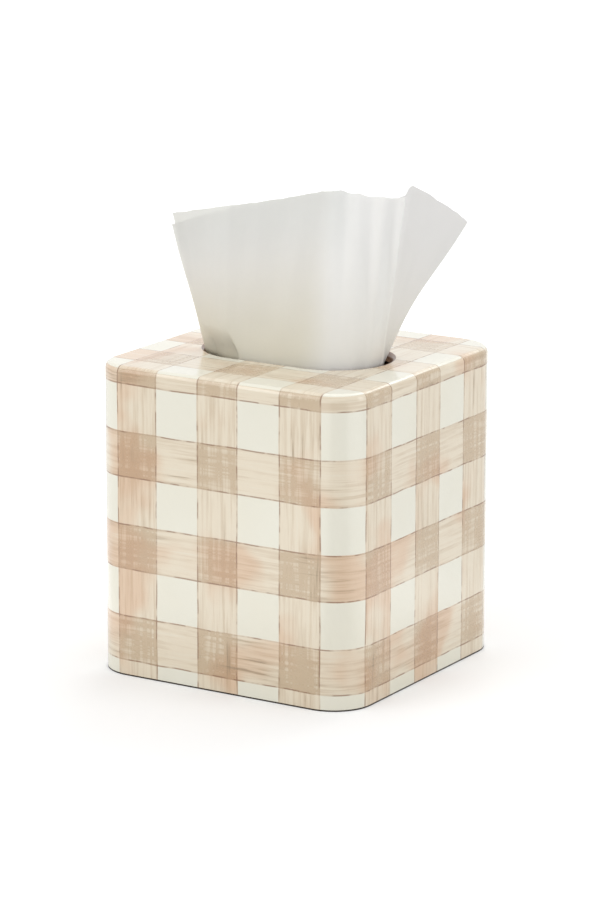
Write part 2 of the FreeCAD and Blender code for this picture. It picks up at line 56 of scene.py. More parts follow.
BLACK: Colour = (0.0, 0.0, 0.0, 1.0)
WHITE: Colour = (1.0, 1.0, 1.0, 1.0)
MILLIMETRES = 1000.0
SMOOTH_UP_TO = math.radians(50)


def srgb(red: int, green: int, blue: int) -> Colour:
    """Turns a colour written as 0 to 255 into the linear colour that a shader takes.

    Args:
        red: Red as it looks on a screen.
        green: Green as it looks on a screen.
        blue: Blue as it looks on a screen.

    Returns:
        Linear red, green and blue with full opacity.
    """
    def linear(level: int) -> float:
        """Undoes the screen's curve for one channel."""
        share = level / 255
        return share / 12.92 if share <= 0.04045 else ((share + 0.055) / 1.055) ** 2.4

    return linear(red), linear(green), linear(blue), 1.0


def inward(start: float, size: float, shares: Pair) -> Pair:
    """Two places that lie shares of a size inwards from a start."""
    return start - size * shares[0], start - size * shares[1]


def clamped(level: float) -> float:
    """Holds a number between 0 and 1."""
    return min(1.0, max(0.0, level))


def eased(level: float) -> float:
    """Holds a number between 0 and 1 and rounds its way off at both ends."""
    share = clamped(level)
    return share * share * (3 - 2 * share)


class Body(Enum):
    """The moving bodies that new pieces ride on."""

    CARTON = "carton"
    TISSUE = "tissue"


class Signal:
    """One socket of a node tree, on which Python's operators add Math nodes."""

    def __init__(self, graph: "Graph", socket: bpy.types.NodeSocket) -> None:
        """Keeps the socket and the graph that new nodes go into."""
        self.graph = graph
        self.socket = socket

    def __add__(self, other: "Signal | float") -> "Signal":
        """Adds."""
        return self.graph.maths("ADD", self, other)

    def __radd__(self, other: float) -> "Signal":
        """Adds to a number."""
        return self.graph.maths("ADD", other, self)

    def __sub__(self, other: "Signal | float") -> "Signal":
        """Subtracts."""
        return self.graph.maths("SUBTRACT", self, other)

    def __rsub__(self, other: float) -> "Signal":
        """Subtracts from a number."""
        return self.graph.maths("SUBTRACT", other, self)

    def __mul__(self, other: "Signal | float") -> "Signal":
        """Multiplies."""
        return self.graph.maths("MULTIPLY", self, other)

    def __rmul__(self, other: float) -> "Signal":
        """Multiplies a number."""
        return self.graph.maths("MULTIPLY", other, self)

    def __pow__(self, power: float) -> "Signal":
        """Raises to a power."""
        return self.graph.maths("POWER", self, power)

    def __abs__(self) -> "Signal":
        """Takes the sign away."""
        return self.graph.maths("ABSOLUTE", self)


class Graph:
    """The node tree of a material or of the world."""

    def __init__(self, owner: bpy.types.Material | bpy.types.World) -> None:
        """Starts an empty node tree.

        Args:
            owner: The material or the world.
        """
        owner.use_nodes = True
        self.owner = owner
        self.tree = owner.node_tree
        self.tree.nodes.clear()

    def node(self, kind: str, settings: dict | None = None, sockets: dict | None = None,
             output: int | str = 0) -> Signal:
        """Adds one node, sets it up, then fills or links its sockets.

        Args:
            kind: The node's type.
            settings: The node's own settings, among them "stops" for a ramp's positions and colours.
            sockets: Values or signals by the socket's name or place.
            output: The name or place of the output that is wanted.

        Returns:
            The node's output.
        """
        made = self.tree.nodes.new(kind)
        for name, setting in (settings or {}).items():
            if name == "stops":
                ramp = made.color_ramp.elements
                while len(ramp) < len(setting):
                    ramp.new(0.5)
                for stop, (position, colour) in zip(ramp, setting):
                    stop.position = position
                    stop.color = colour
            else:
                setattr(made, name, setting)
        for key, given in (sockets or {}).items():
            if isinstance(given, Signal):
                self.tree.links.new(given.socket, made.inputs[key])
            else:
                made.inputs[key].default_value = given
        return Signal(self, made.outputs[output])

    def maths(self, operation: str, first: Signal | float, second: Signal | float = 0.0) -> Signal:
        """Adds a Math node."""
        return self.node("ShaderNodeMath", {"operation": operation}, {0: first, 1: second})

    def place(self) -> Signal:
        """The surface's place in the row frame, in metres."""
        return self.node("ShaderNodeTexCoord", output="Object")

    def split(self, vector: Signal) -> tuple[Signal, Signal, Signal]:
        """Takes a vector apart into its X, Y and Z."""
        apart = self.node("ShaderNodeSeparateXYZ", sockets={0: vector})
        return tuple(Signal(self, apart.socket.node.outputs[axis]) for axis in range(3))

    def stretched(self, vector: Signal, scale: Signal | Triple) -> Signal:
        """Multiplies a vector by a scale for each axis."""
        return self.node("ShaderNodeVectorMath", {"operation": "MULTIPLY"}, {0: vector, 1: scale})

    def clouds(self, vector: Signal, cells: float, detail: float = 2.0, roughness: float = 0.5) -> Signal:
        """Smooth noise from 0 to 1, with so many cells in a unit and finer layers of a given strength."""
        return self.node("ShaderNodeTexNoise", {"normalize": True},
                         {"Vector": vector, "Scale": cells, "Detail": detail, "Roughness": roughness})

    def ramp(self, level: Signal, low: float, high: float) -> Signal:
        """Climbs smoothly from 0 at low to 1 at high."""
        return self.node("ShaderNodeMapRange", {"interpolation_type": "SMOOTHSTEP"},
                         {"Value": level, "From Min": low, "From Max": high})

    def between(self, share: Signal, first: Signal, second: Signal) -> Signal:
        """Goes from the first number to the second by a share."""
        return first + (second - first) * share

    def tint(self, share: Signal | float, first: Signal | Colour, second: Signal | Colour,
             blend: str = "MIX") -> Signal:
        """Mixes a share of the second colour into the first."""
        return self.node("ShaderNodeMix", {"data_type": "RGBA", "blend_type": blend},
                         {0: share, 6: first, 7: second}, output=2)

    def relief(self, height: Signal, depth: float, strength: float) -> Signal:
        """Turns a height into a normal, where a height of 1 measures the depth in metres."""
        sockets = {"Height": height, "Distance": depth, "Strength": strength}
        return self.node("ShaderNodeBump", sockets=sockets)

    def surface(self, sockets: dict) -> Signal:
        """The main shader, with its values and signals by socket."""
        return self.node("ShaderNodeBsdfPrincipled", sockets=sockets)

    def finish(self, shader: Signal) -> bpy.types.Material | bpy.types.World:
        """Links the shader to the tree's output.

        Args:
            shader: The shader.

        Returns:
            The material or the world.
        """
        kind = "World" if isinstance(self.owner, bpy.types.World) else "Material"
        made = self.tree.nodes.new(f"ShaderNodeOutput{kind}")
        self.tree.links.new(shader.socket, made.inputs["Surface"])
        return self.owner


@dataclass(frozen=True)
class GinghamEnamel:
    """Cream enamel with a brushed gingham in rosy tan under clear enamel, and a brown ground coat inside.

    Bands of one width run both ways and wrap the corners: one coat where a band runs alone, two where
    bands cross. One band is centred on each side, and one turns over the top edge. Lengths are in
    metres, cells are counted in a metre, and a mask changes between its pair of numbers. The pairs
    ground_in_wall, ground_in_lip and top_in_edge are shares of the wall, the lip's radius and the
    edge's radius, counted inwards.
    """

    top: float = 0.1397
    half_width: float = 0.0665
    wall: float = 0.0012
    corner_radius: float = 0.0185
    top_edge_radius: float = 0.0032
    opening_half_length: float = 0.044
    opening_half_width: float = 0.025
    lip_radius: float = 0.0022
    ground_in_wall: Pair = (0.92, 0.72)
    ground_in_lip: Pair = (0.22, 0.10)
    top_in_edge: Pair = (0.34, 0.24)
    band: float = 0.0625 / 3
    turned_over: float = 0.0077
    waver: float = 0.00045
    drift_cells: float = 48.0
    sway_cells: float = 61.0
    sway_stretch: Triple = (1.0, 1.3, 0.9)
    wander_detail: float = 1.5
    fine_cells: float = 560.0
    coarse_cells: float = 26.0
    stroke_detail: float = 3.0
    stroke_roughness: float = 0.62
    edge_softness: float = 0.00022
    wet_strokes: Pair = (0.30, 0.70)
    thin_coat: float = 0.26
    stroke_coat: float = 0.44
    patch_cells: float = 34.0
    thin_patch: float = 0.60
    thick_patch: float = 0.80
    cream_cells: float = 21.0
    cream_detail: float = 3.0
    second_coat_from: float = 0.42
    rose_cells: float = 27.0
    rosy: Pair = (0.48, 0.66)
    rose_share: float = 0.75
    covering: Pair = (0.03, 0.34)
    dry_strokes: Pair = (0.56, 0.76)
    dry_cells: float = 43.0
    dry_patches: Pair = (0.46, 0.66)
    dry_share: float = 0.8
    break_cells: float = 160.0
    unbroken: Pair = (0.40, 0.62)
    pool_inset: float = 0.00032
    pool_width: Pair = (0.00012, 0.00046)
    pool_faint: float = 0.18
    pool_strong: float = 0.60
    pool_limit: float = 0.72
    ripple_cells: float = 210.0
    ripple_detail: float = 1.0
    pigment_height: float = 0.5
    coat_height: float = 0.25
    ripple_height: float = 0.20
    relief_depth: float = 0.00011
    relief_strength: float = 0.7
    gloss_roughness: float = 0.17
    pigment_roughness: float = 0.10
    ground_roughness: float = 0.22
    glass_ior: float = 1.5
    clear_coat: float = 0.5
    clear_roughness: float = 0.06
    cream: Colour = srgb(233, 232, 220)
    warm_cream: Colour = srgb(230, 225, 206)
    one_coat: Colour = srgb(228, 216, 194)
    two_coats: Colour = srgb(198, 177, 148)
    rose: Colour = srgb(243, 218, 202)
    pooled: Colour = srgb(130, 92, 67)
    dry_brush: Colour = srgb(148, 128, 102)
    ground_coat: Colour = srgb(112, 78, 54)

    def edge(self, graph: Graph, along: Signal) -> Signal:
        """How far a place lies inside its tan band, counted from the middle of a cream band."""
        return graph.maths("PINGPONG", along, self.band) - self.band / 2

    def strokes(self, graph: Graph, place: Signal, on_top: Signal, on_walls: Triple,
                over_top: Triple) -> Signal:
        """Brush strokes: noise drawn out along a band.

        Args:
            graph: The material's graph.
            place: The surface's place.
            on_top: 1 on the top, 0 on the walls.
            on_walls: The noise's cells along each axis on the walls.
            over_top: The noise's cells along each axis on the top.

        Returns:
            The strokes' strength.
        """
        cells = graph.node("ShaderNodeMix", {"data_type": "VECTOR"}, {0: on_top, 4: on_walls, 5: over_top},
                           output=1)
        drawn = graph.stretched(place, cells)
        return graph.clouds(drawn, 1.0, self.stroke_detail, self.stroke_roughness)

    def within(self, graph: Graph, place: Signal, outer_face: float) -> Signal:
        """1 on the inner side of a wall, 0 on its outer side."""
        return 1 - graph.ramp(place, *inward(outer_face, self.wall, self.ground_in_wall))

    def rounding(self, graph: Graph, x: Signal, y: Signal, centre: Pair) -> Signal:
        """Distance from a rounding's centre, which has a twin in each quarter.

        Args:
            graph: The material's graph.
            x: Place along X.
            y: Place along Y.
            centre: The centre's X and Y.

        Returns:
            The distance.
        """
        past_x = graph.maths("MAXIMUM", abs(x) - centre[0], 0.0)
        past_y = graph.maths("MAXIMUM", abs(y) - centre[1], 0.0)
        return (past_x * past_x + past_y * past_y) ** 0.5

    def inside(self, graph: Graph, x: Signal, y: Signal, z: Signal) -> Signal:
        """1 on the ground coat: inside the walls, under the top and down the collar.

        Args:
            graph: The material's graph.
            x: Place along X.
            y: Place along Y.
            z: Place along Z.

        Returns:
            The mask.
        """
        corner = self.half_width - self.corner_radius
        in_corners = self.within(graph, self.rounding(graph, x, y, (corner, corner)), self.corner_radius)
        in_sides = self.within(graph, abs(x), self.half_width) * self.within(graph, abs(y), self.half_width)
        walled = self.within(graph, z, self.top) * in_sides * in_corners
        end_centre = (self.opening_half_length - self.opening_half_width, 0.0)
        crest = self.opening_half_width + self.lip_radius
        off_lip = graph.ramp(self.rounding(graph, x, y, end_centre),
                             *inward(crest, self.lip_radius, self.ground_in_lip))
        return graph.maths("MAXIMUM", walled, 1 - off_lip)

    def bands(self, graph: Graph, place: Signal, on_top: Signal) -> tuple[Signal, Signal]:
        """How far a place lies inside the bands of each way, which waver a little.

        Args:
            graph: The material's graph.
            place: The surface's place.
            on_top: 1 on the top, 0 on the walls.

        Returns:
            The distance for the upright bands, which run front to back on the top, and for the level
            ones, which run from side to side there.
        """
        x, y, z = graph.split(place)
        drift = graph.clouds(place, self.drift_cells, self.wander_detail) - 0.5
        swayed = graph.stretched(place, self.sway_stretch)
        sway = graph.clouds(swayed, self.sway_cells, self.wander_detail) - 0.5
        first_way = drift * (2 * self.waver)
        second_way = sway * (2 * self.waver)
        first_level = self.top + 1.5 * self.band - self.turned_over
        upright = self.edge(graph, graph.maths("MINIMUM", abs(x), abs(y)) + self.band + first_way)
        level = self.edge(graph, first_level - z + second_way)
        front_to_back = self.edge(graph, abs(x) + self.band + first_way)
        side_to_side = self.edge(graph, abs(y) + self.band + second_way)
        return graph.between(on_top, upright, front_to_back), graph.between(on_top, level, side_to_side)

    def pigment(self, graph: Graph, coat: Signal, strokes: Signal) -> Signal:
        """How much pigment one coat lays down, more where the brush was wet."""
        return coat * (self.thin_coat + self.stroke_coat * graph.ramp(strokes, *self.wet_strokes))

    def pool(self, graph: Graph, inside_band: Signal, whole: Signal) -> Signal:
        """The darker pigment that pools in a fine broken line just inside a band's edge."""
        line = 1 - graph.ramp(abs(inside_band - self.pool_inset), *self.pool_width)
        return line * (self.pool_faint + self.pool_strong * whole)

    def tan(self, graph: Graph, place: Signal, laid: Signal) -> Signal:
        """The tan of the bands: darker under two coats, with rosy patches.

        Args:
            graph: The material's graph.
            place: The surface's place.
            laid: How much pigment lies there.

        Returns:
            The colour.
        """
        stops = ((0.0, self.one_coat), (self.second_coat_from, self.one_coat), (1.0, self.two_coats))
        plain = graph.node("ShaderNodeValToRGB", {"stops": stops}, {0: laid})
        patches = graph.ramp(graph.clouds(place, self.rose_cells), *self.rosy)
        return graph.tint(patches * self.rose_share, plain, self.rose, "MULTIPLY")

    def material(self) -> bpy.types.Material:
        """Makes the finish.

        Returns:
            The material.
        """
        graph = Graph(bpy.data.materials.new("gingham_enamel"))
        place = graph.place()
        x, y, z = graph.split(place)
        on_top = graph.ramp(z, *inward(self.top, self.top_edge_radius, self.top_in_edge))
        first, second = self.bands(graph, place, on_top)
        first_coat = graph.ramp(first, -self.edge_softness, self.edge_softness)
        second_coat = graph.ramp(second, -self.edge_softness, self.edge_softness)
        fine, coarse = self.fine_cells, self.coarse_cells
        first_strokes = self.strokes(graph, place, on_top, (fine, fine, coarse), (fine, coarse, coarse))
        second_strokes = self.strokes(graph, place, on_top, (coarse, coarse, fine), (coarse, fine, coarse))
        brushed = (self.pigment(graph, first_coat, first_strokes)
                   + self.pigment(graph, second_coat, second_strokes))
        laid = brushed * (self.thin_patch + self.thick_patch * graph.clouds(place, self.patch_cells))

        aged = graph.clouds(place, self.cream_cells, self.cream_detail)
        cream = graph.tint(aged, self.cream, self.warm_cream)
        painted = graph.tint(graph.ramp(laid, *self.covering), cream, self.tan(graph, place, laid))
        first_dry = graph.ramp(first_strokes, *self.dry_strokes) * first_coat
        second_dry = graph.ramp(second_strokes, *self.dry_strokes) * second_coat
        dry_patches = graph.ramp(graph.clouds(place, self.dry_cells), *self.dry_patches)
        dried = graph.tint((first_dry + second_dry) * dry_patches * self.dry_share, painted, self.dry_brush)
        whole = graph.ramp(graph.clouds(place, self.break_cells), *self.unbroken)
        pools = self.pool(graph, first, whole) + self.pool(graph, second, whole)
        outlined = graph.tint(graph.maths("MINIMUM", pools, self.pool_limit), dried, self.pooled)

        ground = self.inside(graph, x, y, z)
        ripple = graph.clouds(place, self.ripple_cells, self.ripple_detail)
        coats = (first_coat + second_coat) * self.coat_height
        height = laid * self.pigment_height + coats + ripple * self.ripple_height
        duller = self.pigment_roughness * laid + self.ground_roughness * ground
        return graph.finish(graph.surface({
            "Base Color": graph.tint(ground, outlined, self.ground_coat),
            "Roughness": self.gloss_roughness + duller,
            "Normal": graph.relief(height, self.relief_depth, self.relief_strength),
            "IOR": self.glass_ior,
            "Coat Weight": self.clear_coat,
            "Coat Roughness": self.clear_roughness,
        }))


@dataclass(frozen=True)
class DarkRimMetal:
    """Thin darkened steel edging, drawn along its length."""

    metal: Colour = srgb(58, 50, 44)
    worn: Colour = srgb(112, 100, 88)
    drawn_cells: Triple = (60.0, 60.0, 2600.0)
    wear_cells: float = 130.0
    wear_detail: float = 3.0
    worn_patches: Pair = (0.56, 0.78)
    wear_share: float = 0.6
    drawn_share: float = 0.15
    bareness: float = 0.85
    smooth: float = 0.34
    drawn_roughness: float = 0.18
    relief_depth: float = 0.00002
    relief_strength: float = 0.4

    def material(self) -> bpy.types.Material:
        """Makes the finish.

        Returns:
            The material.
        """
        graph = Graph(bpy.data.materials.new("darkened_steel"))
        place = graph.place()
        drawn = graph.clouds(graph.stretched(place, self.drawn_cells), 1.0)
        wear = graph.ramp(graph.clouds(place, self.wear_cells, self.wear_detail), *self.worn_patches)
        bared = wear * self.wear_share + drawn * self.drawn_share
        return graph.finish(graph.surface({
            "Base Color": graph.tint(bared, self.metal, self.worn),
            "Metallic": self.bareness,
            "Roughness": self.smooth + self.drawn_roughness * drawn,
            "Normal": graph.relief(drawn, self.relief_depth, self.relief_strength),
        }))


@dataclass(frozen=True)
class CartonBoard:
    """Plain pale folding board with a coated face, a little grey in its fibres."""

    face: Colour = srgb(231, 229, 223)
    fibre: Colour = srgb(208, 203, 193)
    fibre_cells: Triple = (900.0, 900.0, 300.0)
    fibre_detail: float = 4.0
    fibre_strength: float = 0.7
    fibre_share: float = 0.5
    blotch_cells: float = 70.0
    blotch_share: float = 0.3
    coated: float = 0.55
    fibre_roughness: float = 0.2
    relief_depth: float = 0.00003
    relief_strength: float = 0.5

    def material(self) -> bpy.types.Material:
        """Makes the finish.

        Returns:
            The material.
        """
        graph = Graph(bpy.data.materials.new("plain_board"))
        place = graph.place()
        drawn = graph.stretched(place, self.fibre_cells)
        fibres = graph.clouds(drawn, 1.0, self.fibre_detail, self.fibre_strength)
        blotches = graph.clouds(place, self.blotch_cells)
        greyed = fibres * self.fibre_share + blotches * self.blotch_share
        return graph.finish(graph.surface({
            "Base Color": graph.tint(greyed, self.face, self.fibre),
            "Roughness": self.coated + self.fibre_roughness * fibres,
            "Normal": graph.relief(fibres, self.relief_depth, self.relief_strength),
        }))


@dataclass(frozen=True)
class ClearFilm:
    """Clear soft film with slack ripples and a little dust."""

    tone: Colour = srgb(238, 242, 244)
    opacity: float = 0.3
    ripple_cells: Triple = (40.0, 160.0, 40.0)
    dust_cells: float = 900.0
    clean: float = 0.07
    dusty: float = 0.12
    relief_depth: float = 0.0004
    relief_strength: float = 0.6

    def material(self) -> bpy.types.Material:
        """Makes the finish.

        Returns:
            The material.
        """
        graph = Graph(bpy.data.materials.new("clear_film"))
        place = graph.place()
        ripples = graph.clouds(graph.stretched(place, self.ripple_cells), 1.0)
        return graph.finish(graph.surface({
            "Base Color": self.tone,
            "Roughness": self.clean + self.dusty * graph.clouds(place, self.dust_cells),
            "Alpha": self.opacity,
            "Normal": graph.relief(ripples, self.relief_depth, self.relief_strength),
        }))


@dataclass(frozen=True)
class TissuePaper:
    """Soft two-ply paper: fine creping across the sheet and a cloudy fibre structure.

    Its tone follows how the standing sheet lies, by shares across and up it, with light and shade painted
    into it: painted shade that makes it warmer low down, a painted brightening that makes it whiter where
    pleats lie on each other, painted shade that makes it a little greyer near its free edge left of the
    pleats, and painted shade that makes it darker where its left edge is tucked in.
    """

    paper: Colour = srgb(247, 246, 245)
    # Painted brightening where pleats lie on each other.
    painted_pleat_light: Colour = srgb(254, 254, 253)
    shade: Colour = srgb(246, 246, 245)
    # Painted shade low down, warmer and darker.
    painted_low_shade: Colour = srgb(232, 226, 199)
    # Painted grey shade near the free edge, left of the pleats.
    painted_top_shade: Colour = srgb(226, 230, 226)
    # Painted shade in the dent where the left edge is tucked in.
    tucked: Colour = srgb(220, 204, 164)
    glow: Colour = srgb(250, 249, 244)
    width: float = 0.200
    length: float = 0.092
    crepe_cells: Triple = (420.0, 2100.0, 1.0)
    crepe_detail: float = 3.0
    crepe_strength: float = 0.6
    fibre_cells: float = 420.0
    fibre_detail: float = 4.0
    fibre_strength: float = 0.7
    formation_cells: float = 60.0
    formation_detail: float = 3.0
    pleats_across: Pair = (0.39, 0.46)
    wing_across: Pair = (0.70, 0.82)
    low_shade_up: Pair = (0.06, 0.92)
    low_shade_share: float = 0.66
    less_in_pleats: float = 0.46
    top_shade_up: Pair = (0.60, 0.96)
    top_shade_across: Pair = (0.42, 0.54)
    top_shade_share: float = 0.34
    tuck_across: Pair = (0.15, 0.24)
    tuck_up: Pair = (0.17, 0.30)
    tuck_shade_share: float = 0.35
    formation_share: float = 0.55
    fibre_share: float = 0.25
    crepe_height: float = 0.6
    fibre_height: float = 0.4
    relief_depth: float = 0.00012
    relief_strength: float = 0.55
    matt: float = 0.93
    see_through: float = 0.28
    denser_in_pleats: float = 0.45

    def tone(self, graph: Graph, across: Signal, up: Signal, pleated: Signal) -> Signal:
        """The sheet's colour before its fibres, with its painted light and shade.

        Args:
            graph: The material's graph.
            across: Place across the sheet, from 0 to 1.
            up: Place up the sheet, from 0 to 1.
            pleated: 1 where pleats lie on each other.

        Returns:
            The colour.
        """
        # Painted brightening where pleats lie on each other, fading out in the wing.
        pleat_light_share = pleated * (1 - graph.ramp(across, *self.wing_across))
        white = graph.tint(pleat_light_share, self.paper, self.painted_pleat_light)
        # Painted shade: warmer and darker low down, less of it among the pleats.
        low_shade = (1 - graph.ramp(up, *self.low_shade_up)) * (self.low_shade_share - self.less_in_pleats * pleated)
        low_shaded = graph.tint(low_shade, white, self.painted_low_shade)
        # Painted grey shade near the free edge, left of the pleats.
        top_shade = graph.ramp(up, *self.top_shade_up) * (1 - graph.ramp(across, *self.top_shade_across))
        top_shaded = graph.tint(top_shade * self.top_shade_share, low_shaded, self.painted_top_shade)
        # Painted shade where the left edge is tucked in; the colour tucked is that shade.
        tuck_shade = (1 - graph.ramp(across, *self.tuck_across)) * (1 - graph.ramp(up, *self.tuck_up))
        return graph.tint(tuck_shade * self.tuck_shade_share, top_shaded, self.tucked)

    def material(self) -> bpy.types.Material:
        """Makes the finish, on the sheet's own UV map laid out in the standing sheet's metres.

        Returns:
            The material.
        """
        graph = Graph(bpy.data.materials.new("tissue_paper"))
        laid_out = graph.node("ShaderNodeTexCoord", output="UV")
        flat = graph.stretched(laid_out, (self.width, self.length, 1.0))
        creped = graph.stretched(flat, self.crepe_cells)
        crepe = graph.clouds(creped, 1.0, self.crepe_detail, self.crepe_strength)
        fibres = graph.clouds(flat, self.fibre_cells, self.fibre_detail, self.fibre_strength)
        formation = graph.clouds(flat, self.formation_cells, self.formation_detail)
        across, up, _ = graph.split(laid_out)
        pleated = graph.ramp(across, *self.pleats_across)
        cloudy = formation * self.formation_share + fibres * self.fibre_share
        colour = graph.tint(cloudy, self.tone(graph, across, up, pleated), self.shade, "MULTIPLY")
        height = crepe * self.crepe_height + fibres * self.fibre_height
        normal = graph.relief(height, self.relief_depth, self.relief_strength)
        front = graph.surface({"Base Color": colour, "Roughness": self.matt, "Normal": normal})
        through = graph.node("ShaderNodeBsdfTranslucent", sockets={"Color": self.glow, "Normal": normal})
        share = self.see_through * (1 - self.denser_in_pleats * pleated)
        return graph.finish(graph.node("ShaderNodeMixShader", sockets={0: share, 1: front, 2: through}))


def select_only(piece: bpy.types.Object) -> None:
    """Selects one object and makes it active.

    Args:
        piece: The object.
    """
    bpy.ops.object.select_all(action="DESELECT")
    piece.select_set(True)
    bpy.context.view_layer.objects.active = piece


def flat_sheet(name: str, width: float, length: float, columns: int, rows: int) -> bpy.types.Object:
    """Adds a flat cut sheet with its UV map, across X and up Y, at the origin.

    Args:
        name: The piece's name.
        width: The sheet's width.
        length: The sheet's length.
        columns: Faces across it.
        rows: Faces up it.

    Returns:
        The sheet, its size in its mesh.
    """
    bpy.ops.object.select_all(action="DESELECT")
    bpy.ops.mesh.primitive_grid_add(x_subdivisions=columns, y_subdivisions=rows, size=1.0, calc_uvs=True)
    piece = bpy.context.object
    piece.name = name
    piece.scale = (width, length, 1.0)
    bpy.ops.object.transform_apply(location=False, rotation=False, scale=True)
    return piece


def thicken(piece: bpy.types.Object, thickness: float) -> None:
    """Gives a sheet its thickness, half to each side, and shades it smooth.

    Args:
        piece: The sheet.
        thickness: Its thickness.
    """
    select_only(piece)
    solid = piece.modifiers.new("thickness", "SOLIDIFY")
    solid.thickness = thickness
    solid.offset = 0.0
    bpy.ops.object.modifier_apply(modifier=solid.name)
    bpy.ops.object.shade_smooth_by_angle(angle=SMOOTH_UP_TO)


def dress(piece: bpy.types.Object, finish: bpy.types.Material) -> None:
    """Gives an object one material, in each of its slots.

    Args:
        piece: The object.
        finish: The material.
    """
    if not piece.material_slots:
        piece.data.materials.append(finish)
    for held in piece.material_slots:
        held.material = finish


@dataclass
class Cover:
    """The enamelled cover and its edging, both as the frame has them."""

    enamel: GinghamEnamel
    edging: DarkRimMetal

    def build(self) -> None:
        """Dresses the shell and the edging."""
        dress(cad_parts["cover_shell"], self.enamel.material())
        dress(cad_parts["base_rim"], self.edging.material())
        log.info("cover_shell and base_rim dressed")


@dataclass
class Carton:
    """The carton and the slit film under its top, both as the frame has them."""

    board: CartonBoard
    film: ClearFilm

    def build(self) -> None:
        """Dresses the carton and the film."""
        dress(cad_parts["tissue_carton"], self.board.material())
        dress(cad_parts["slit_film"], self.film.material())
        log.info("tissue_carton and slit_film dressed")


@dataclass
class TissueClip:
    """The clip of interfolded tissues, bent over into an upside-down U.

    Each piece is a packet of sheets, folded once so that each half lies in a neighbour's fold, then
    bent over the crown. The place of a layer is counted inwards from the crown's outside.
    """

    paper: bpy.types.Material
    count: int = 14
    sheet_width: float = 0.200
    sheet_length: float = 0.2083
    crown_radius: float = 0.0535
    crown_centre: float = 0.0703
    leg_end: float = 0.0013
    half_depth: float = 0.0535
    layer_gap: float = 0.00045
    rumple: float = 0.00009
    rumple_cells: Triple = (90.0, 70.0, 90.0)
    columns: int = 64
    fold_steps: int = 10
    half_steps: int = 14

    @property
    def core_radius(self) -> float:
        """Radius of the hollow left under the crown."""
        return (self.sheet_width - 2 * (self.crown_centre - self.leg_end)) / math.pi

    @property
    def pitch(self) -> float:
        """Distance from one layer to the next."""
        return (self.crown_radius - self.core_radius) / (2 * self.count)

    def folded(self, number: int, step: int) -> tuple[float, float]:
        """Where a step along a packet's length lies once it is folded.

        Args:
            number: The packet, from 1 at the outside.
            step: The step along the length, through the outer half, the fold and the inner half.

        Returns:
            Distance from the crown's axis, and place along Y.
        """
        first = max(0, 2 * number - 3)
        second = min(2 * number, 2 * self.count - 1)
        outer, inner = (self.crown_radius - (place + 0.5) * self.pitch for place in (first, second))
        bend, middle = (outer - inner) / 2, (outer + inner) / 2
        side = -1 if number % 2 else 1
        widest_bend = 1.5 * self.pitch
        reach = self.half_depth - widest_bend - (self.pitch - self.layer_gap) / 2
        if step <= self.half_steps:
            return outer, side * reach * (2 * step / self.half_steps - 1)
        if step >= self.half_steps + self.fold_steps:
            past = step - self.half_steps - self.fold_steps
            return inner, side * reach * (1 - 2 * past / self.half_steps)
        turn = math.pi * (step - self.half_steps) / self.fold_steps
        return middle + bend * math.cos(turn), side * (reach + bend * math.sin(turn))

    def bent(self, radius: float, along: float) -> tuple[float, float]:
        """Where a point of a layer lies once the clip is bent over.

        Args:
            radius: The layer's distance from the crown's axis.
            along: Distance along the sheet's width from its middle.

        Returns:
            Place along X and along Z.
        """
        quarter = math.pi / 2 * radius
        if abs(along) <= quarter:
            angle = along / radius
            return radius * math.sin(angle), self.crown_centre + radius * math.cos(angle)
        return math.copysign(radius, along), self.crown_centre - (abs(along) - quarter)

    def packet(self, number: int) -> bpy.types.Object:
        """Makes one packet of sheets.

        Args:
            number: The packet, from 1 at the outside.

        Returns:
            The piece.
        """
        rows = 2 * self.half_steps + self.fold_steps
        length = 4 * self.half_depth
        along_x, along_y, along_z = self.rumple_cells
        piece = flat_sheet(f"clip_sheets_{number:02d}", self.sheet_width, length, self.columns, rows)
        for vertex in piece.data.vertices:
            step = round((vertex.co.y / length + 0.5) * rows)
            radius, deep = self.folded(number, step)
            across, high = self.bent(radius, vertex.co.x)
            cells = Vector((across * along_x, deep * along_y, high * along_z + number))
            wave = noise.noise(cells) * self.rumple
            outwards = Vector((across, 0, max(high - self.crown_centre, 0.0))).normalized()
            vertex.co = Vector((across, deep, high)) + outwards * wave
        thicken(piece, self.pitch - self.layer_gap)
        dress(piece, self.paper)
        return piece

    def build(self) -> None:
        """Makes each packet and seats it in the carton."""
        for number in range(1, self.count + 1):
            node = f"tissue_fold_{number:02d}"
            piece = self.packet(number)
            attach(piece, Body.CARTON.value)
            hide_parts(node)
            log.info("%s stands for %s", piece.name, node)


@dataclass(frozen=True)
class Ripple:
    """Smooth noise over a sheet: its waves across the width and up a metre, its seed and its strength."""

    across: float
    upward: float
    seed: float
    strength: float

    def at(self, share: float, height: float = 0.0) -> float:
        """The noise at a share of the sheet's width and a height."""
        return self.strength * noise.noise(Vector((share * self.across, height * self.upward, self.seed)))


@dataclass(frozen=True)
class Bow:
    """How far one side edge of the standing sheet is drawn to the left, and where."""

    depth: float
    reach: float
    falloff: float
    height: float
    spread: float

    def drawn(self, from_edge: float, over_brim: float) -> float:
        """How far a place is drawn, from its share of the width off the edge and its height over the brim."""
        share = max(0.0, 1 - from_edge / self.reach) ** self.falloff
        return self.depth * share * math.exp(-((over_brim - self.height) / self.spread) ** 2)


